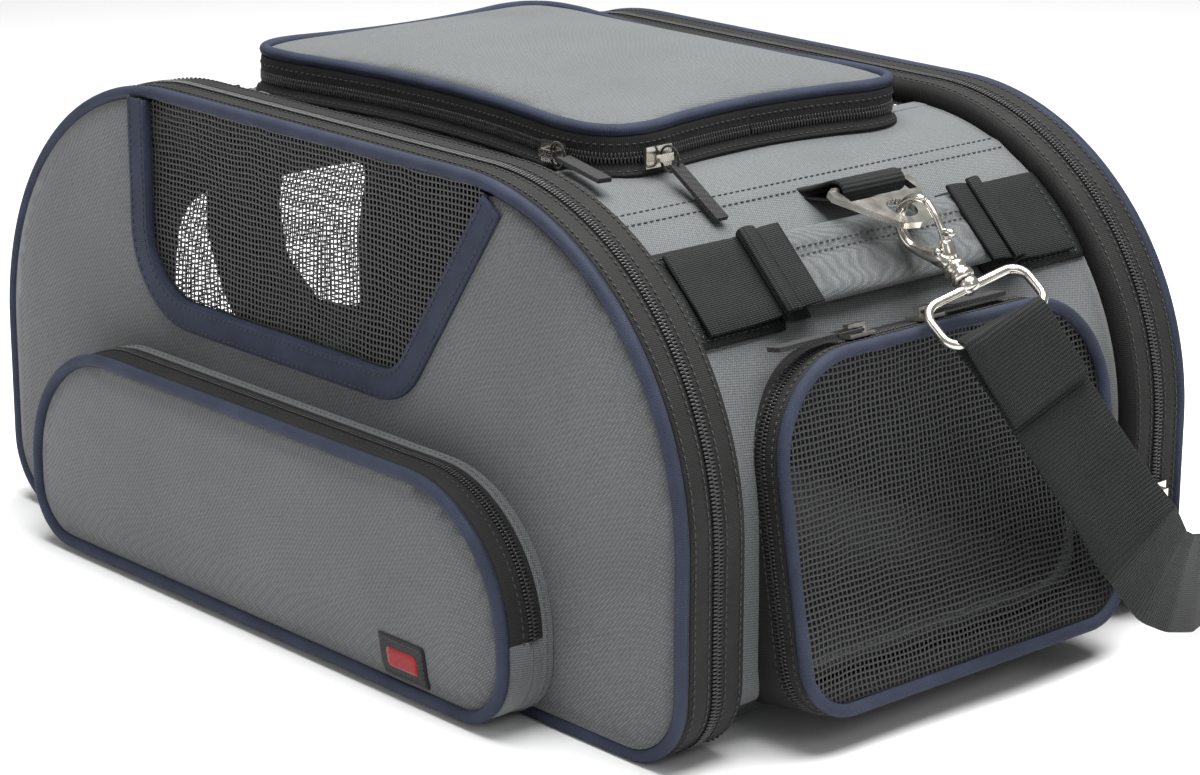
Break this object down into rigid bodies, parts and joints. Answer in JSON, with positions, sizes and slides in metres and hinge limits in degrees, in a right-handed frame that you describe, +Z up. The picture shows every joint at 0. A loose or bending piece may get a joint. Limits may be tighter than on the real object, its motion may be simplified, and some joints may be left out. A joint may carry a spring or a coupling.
{
  "type": "pet carrier bag",
  "caption": "Soft pet carrier bag with arched zip-open side panels, zipped lid, mesh end door, front pocket, padded handles and a clip-on shoulder strap.",
  "frame": {"origin": "middle of the base's underside, on the ground", "axes": "+X along the bag towards the end door, +Y towards the rear panel, +Z up"},
  "size_m": [0.548, 0.3525, 0.2234],
  "materials": {
    "outer_fabric": "fine diagonal twill, matte",
    "light_fabric": "fine twill, matte",
    "navy_piping": "woven binding, matte",
    "black_webbing": "ribbed webbing, matte",
    "black_tape": "zip tape, matte",
    "mesh": "open mesh, matte",
    "nickel": "warm nickel plate",
    "label": "woven patch with a satin face"
  },
  "bodies": {
    "shell": {"base_panel": "outer_fabric", "right_end_panel": "outer_fabric", "left_end_panel": "outer_fabric", "shoulder_panels": "light_fabric", "top_mesh_strips": "mesh", "rim_tapes": "black_tape", "lid_frame_tape": "black_tape", "door_frame_tape": "black_tape", "left_end_mesh": "mesh", "handle_patches": "black_webbing", "ring_loops": "black_webbing"},
    "front_wing": {"front_wing_panel": "outer_fabric", "front_wing_tape": "black_tape", "front_wing_piping": "navy_piping", "front_window_mesh": "mesh", "front_window_binding": "navy_piping", "front_pocket_strip": "light_fabric"},
    "rear_wing": {"rear_wing_panel": "outer_fabric", "rear_wing_tape": "black_tape", "rear_wing_piping": "navy_piping", "rear_window_mesh": "mesh", "rear_window_binding": "navy_piping"},
    "front_pocket": {"pocket_face": "outer_fabric", "pocket_piping": "navy_piping", "pocket_gusset": "black_tape", "label_patch": "label"},
    "pocket_slider": {"pocket_zip_slider": "nickel"},
    "pocket_pull": {"pocket_zip_pull": "black_webbing"},
    "lid": {"lid_top": "light_fabric", "lid_piping": "navy_piping", "lid_band": "black_tape"},
    "lid_slider_front": {"lid_zip_slider_front": "nickel"},
    "lid_pull_front": {"lid_zip_pull_front": "black_webbing"},
    "lid_slider_end": {"lid_zip_slider_end": "nickel"},
    "lid_pull_end": {"lid_zip_pull_end": "black_webbing"},
    "door": {"door_mesh": "mesh", "door_piping": "navy_piping", "door_band": "black_tape"},
    "door_slider_front": {"door_zip_slider_front": "nickel"},
    "door_pull_front": {"door_zip_pull_front": "black_webbing"},
    "door_slider_rear": {"door_zip_slider_rear": "nickel"},
    "door_pull_rear": {"door_zip_pull_rear": "black_webbing"},
    "wing_slider_front": {"front_zip_slider": "nickel"},
    "wing_pull_front": {"front_zip_pull": "black_webbing"},
    "wing_slider_rear": {"rear_zip_slider": "nickel"},
    "wing_pull_rear": {"rear_zip_pull": "black_webbing"},
    "right_handle": {"right_handle_webbing": "black_webbing", "right_handle_grip": "light_fabric"},
    "left_handle": {"left_handle_webbing": "black_webbing", "left_handle_grip": "light_fabric"},
    "right_ring": {"right_strap_ring": "nickel"},
    "right_hook": {"right_snap_hook": "nickel"},
    "right_gate": {"right_hook_gate": "nickel"},
    "right_swivel": {"right_swivel_ring": "nickel"},
    "left_ring": {"left_strap_ring": "nickel"},
    "left_hook": {"left_snap_hook": "nickel"},
    "left_gate": {"left_hook_gate": "nickel"},
    "left_swivel": {"left_swivel_ring": "nickel"},
    "strap_front": {"strap_front": "black_webbing"},
    "strap_rear": {"strap_rear": "black_webbing"}
  },
  "joints": [
    {"name": "front_wing_fold", "type": "hinge", "parent": "shell", "child": "front_wing", "pos_m": [0, -0.1405, 0], "axis": [1, 0, 0], "range_deg": [0, 80]},
    {"name": "rear_wing_fold", "type": "hinge", "parent": "shell", "child": "rear_wing", "pos_m": [0, 0.1405, 0], "axis": [-1, 0, 0], "range_deg": [0, 65]},
    {"name": "pocket_fold", "type": "hinge", "parent": "front_wing", "child": "front_pocket", "pos_m": [0, -0.166, 0.002], "axis": [1, 0, 0], "range_deg": [0, 35]},
    {"name": "lid_open", "type": "hinge", "parent": "shell", "child": "lid", "pos_m": [-0.1165, 0, 0.2026], "axis": [0, -1, 0], "range_deg": [0, 105]},
    {"name": "door_open", "type": "hinge", "parent": "shell", "child": "door", "pos_m": [0.241, -0.003, 0.014], "axis": [0, 1, 0], "range_deg": [0, 92]},
    {"name": "lid_slider_front_slide", "type": "slide", "parent": "shell", "child": "lid_slider_front", "axis": [-1, 0, 0], "range_m": [0, 0.018]},
    {"name": "lid_slider_end_slide", "type": "slide", "parent": "shell", "child": "lid_slider_end", "axis": [0, 1, 0], "range_m": [0, 0.01]},
    {"name": "lid_pull_front_swing", "type": "hinge", "parent": "lid_slider_front", "child": "lid_pull_front", "pos_m": [0.09292, -0.08812, 0.2028], "axis": [-0.1736, -0.9848, 0], "range_deg": [0, 60]},
    {"name": "lid_pull_end_swing", "type": "hinge", "parent": "lid_slider_end", "child": "lid_pull_end", "pos_m": [0.12525, -0.06, 0.2028], "axis": [0, -1, 0], "range_deg": [0, 80]},
    {"name": "door_slider_front_slide", "type": "slide", "parent": "shell", "child": "door_slider_front", "axis": [0, -1, 0], "range_m": [0, 0.02]},
    {"name": "door_pull_front_swing", "type": "hinge", "parent": "door_slider_front", "child": "door_pull_front", "pos_m": [0.20388, -0.0384, 0.14844], "axis": [-0.9833, 0, -0.1822], "range_deg": [0, 25]},
    {"name": "door_slider_rear_slide", "type": "slide", "parent": "shell", "child": "door_slider_rear", "axis": [0, 1, 0], "range_m": [0, 0.02]},
    {"name": "door_pull_rear_swing", "type": "hinge", "parent": "door_slider_rear", "child": "door_pull_rear", "pos_m": [0.20388, -0.0016, 0.14844], "axis": [0.9833, 0, 0.1822], "range_deg": [0, 20]},
    {"name": "wing_slider_front_slide", "type": "slide", "parent": "shell", "child": "wing_slider_front", "axis": [0, 0, 1], "range_m": [0, 0.03]},
    {"name": "wing_pull_front_swing", "type": "hinge", "parent": "wing_slider_front", "child": "wing_pull_front", "pos_m": [-0.22295, -0.1224, 0.0526], "axis": [0, 1, 0], "range_deg": [0, 150]},
    {"name": "wing_slider_rear_slide", "type": "slide", "parent": "shell", "child": "wing_slider_rear", "axis": [0, 0, 1], "range_m": [0, 0.03]},
    {"name": "wing_pull_rear_swing", "type": "hinge", "parent": "wing_slider_rear", "child": "wing_pull_rear", "pos_m": [0.22295, 0.1224, 0.0526], "axis": [0, -1, 0], "range_deg": [0, 15]},
    {"name": "pocket_slider_slide", "type": "slide", "parent": "front_wing", "child": "pocket_slider", "axis": [0, 0, 1], "range_m": [0, 0.008]},
    {"name": "pocket_pull_swing", "type": "hinge", "parent": "pocket_slider", "child": "pocket_pull", "pos_m": [-0.16795, -0.15, 0.0506], "axis": [0, 1, 0], "range_deg": [0, 150]},
    {"name": "right_handle_lift", "type": "slide", "parent": "shell", "child": "right_handle", "axis": [0.6947, 0, 0.7193], "range_m": [0, 0.018]},
    {"name": "left_handle_lift", "type": "slide", "parent": "shell", "child": "left_handle", "axis": [-0.6947, 0, 0.7193], "range_m": [0, 0.018]},
    {"name": "right_ring_lift", "type": "hinge", "parent": "shell", "child": "right_ring", "pos_m": [0.166, 0.006, 0.1895], "axis": [0, -1, 0], "range_deg": [0, 60]},
    {"name": "right_hook_swing", "type": "hinge", "parent": "right_ring", "child": "right_hook", "pos_m": [0.19325, 0.006, 0.17958], "axis": [0, -1, 0], "range_deg": [0, 145]},
    {"name": "right_gate_press", "type": "hinge", "parent": "right_hook", "child": "right_gate", "pos_m": [0.20315, 0.006, 0.18097], "axis": [0, -1, 0], "range_deg": [0, 14], "stiffness_Nm_per_rad": 0.02, "springref_deg": -5.73},
    {"name": "right_swivel_turn", "type": "hinge", "parent": "right_hook", "child": "right_swivel", "pos_m": [0.19325, 0.006, 0.17958], "axis": [0.809, 0, -0.5878], "range_deg": [-3, 6]},
    {"name": "left_ring_lift", "type": "hinge", "parent": "shell", "child": "left_ring", "pos_m": [-0.166, 0.006, 0.1895], "axis": [0, 1, 0], "range_deg": [0, 60]},
    {"name": "left_hook_swing", "type": "hinge", "parent": "left_ring", "child": "left_hook", "pos_m": [-0.19325, 0.006, 0.17958], "axis": [0, 1, 0], "range_deg": [0, 35]},
    {"name": "left_gate_press", "type": "hinge", "parent": "left_hook", "child": "left_gate", "pos_m": [-0.20315, 0.006, 0.18097], "axis": [0, 1, 0], "range_deg": [0, 14], "stiffness_Nm_per_rad": 0.02, "springref_deg": -5.73},
    {"name": "left_swivel_turn", "type": "hinge", "parent": "left_hook", "child": "left_swivel", "pos_m": [-0.19325, 0.006, 0.17958], "axis": [0.809, 0, 0.5878], "range_deg": [-20, 20]},
    {"name": "strap_front_swing", "type": "hinge", "parent": "right_swivel", "child": "strap_front", "pos_m": [0.23613, 0.006, 0.14843], "axis": [-0.201, -0.9397, -0.2767], "range_deg": [0, 20]},
    {"name": "strap_rear_swing", "type": "hinge", "parent": "shell", "child": "strap_rear", "pos_m": [0, 0.006, 0.1484], "axis": [1, 0, 0], "range_deg": [0, 40]}
  ],
  "couplings": [
    {"joint": "right_hook_swing", "follows": "door_open", "ratio": 1.5},
    {"joint": "right_ring_lift", "follows": "right_handle_lift", "rad_per_m": 43.6},
    {"joint": "left_ring_lift", "follows": "left_handle_lift", "rad_per_m": 43.6}
  ]
}
